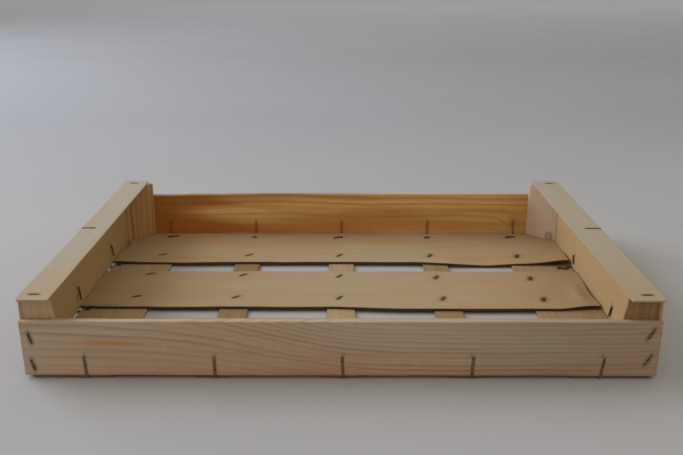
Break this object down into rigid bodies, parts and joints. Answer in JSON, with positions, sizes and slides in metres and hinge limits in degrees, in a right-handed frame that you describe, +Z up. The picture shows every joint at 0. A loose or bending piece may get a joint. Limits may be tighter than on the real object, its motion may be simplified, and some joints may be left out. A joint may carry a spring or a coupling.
{
  "type": "fruit crate",
  "caption": "Shallow open wooden tray of thin boards with triangular corner posts that rise above the long sides, a capped end at each short side and a gapped slat floor, held together by staples and bent wires.",
  "frame": {"origin": "middle of the footprint, on the surface that the crate stands on", "axes": "+X along the long sides to the right, +Y from the front side to the rear side, +Z up"},
  "size_m": [0.6012, 0.4012, 0.082],
  "materials": {
    "side_pine": "sawn, bare",
    "post_pine": "sawn, bare",
    "end_plywood": "peeled, bare",
    "cap_plywood": "peeled, bare",
    "cross_pine": "sawn, bare",
    "floor_veneer": "peeled, bare",
    "steel_wire": "dull, rusty"
  },
  "bodies": {
    "root": {"front_far_left_side_wire": "steel_wire", "front_far_right_side_wire": "steel_wire", "front_floor_slat": "floor_veneer", "front_left_cap_staple": "steel_wire", "front_left_end_wire": "steel_wire", "front_left_lower_panel_staple": "steel_wire", "front_left_lower_side_staple": "steel_wire", "front_left_post": "post_pine", "front_left_side_wire": "steel_wire", "front_left_upper_panel_staple": "steel_wire", "front_left_upper_side_staple": "steel_wire", "front_middle_side_wire": "steel_wire", "front_right_cap_staple": "steel_wire", "front_right_end_wire": "steel_wire", "front_right_lower_panel_staple": "steel_wire", "front_right_lower_side_staple": "steel_wire", "front_right_post": "post_pine", "front_right_side_wire": "steel_wire", "front_right_upper_panel_staple": "steel_wire", "front_right_upper_side_staple": "steel_wire", "front_side_board": "side_pine", "left_cap": "cap_plywood", "left_cap_wire": "steel_wire", "left_cross_slat": "cross_pine", "left_end_cross_slat": "cross_pine", "left_end_panel": "end_plywood", "middle_cross_slat": "cross_pine", "middle_floor_slat": "floor_veneer", "rear_far_left_side_wire": "steel_wire", "rear_far_right_side_wire": "steel_wire", "rear_floor_slat": "floor_veneer", "rear_left_cap_staple": "steel_wire", "rear_left_end_wire": "steel_wire", "rear_left_lower_panel_staple": "steel_wire", "rear_left_lower_side_staple": "steel_wire", "rear_left_post": "post_pine", "rear_left_side_wire": "steel_wire", "rear_left_upper_panel_staple": "steel_wire", "rear_left_upper_side_staple": "steel_wire", "rear_middle_side_wire": "steel_wire", "rear_right_cap_staple": "steel_wire", "rear_right_end_wire": "steel_wire", "rear_right_lower_panel_staple": "steel_wire", "rear_right_lower_side_staple": "steel_wire", "rear_right_post": "post_pine", "rear_right_side_wire": "steel_wire", "rear_right_upper_panel_staple": "steel_wire", "rear_right_upper_side_staple": "steel_wire", "rear_side_board": "side_pine", "right_cap": "cap_plywood", "right_cap_wire": "steel_wire", "right_cross_slat": "cross_pine", "right_end_cross_slat": "cross_pine", "right_end_panel": "end_plywood"}
  },
  "joints": []
}
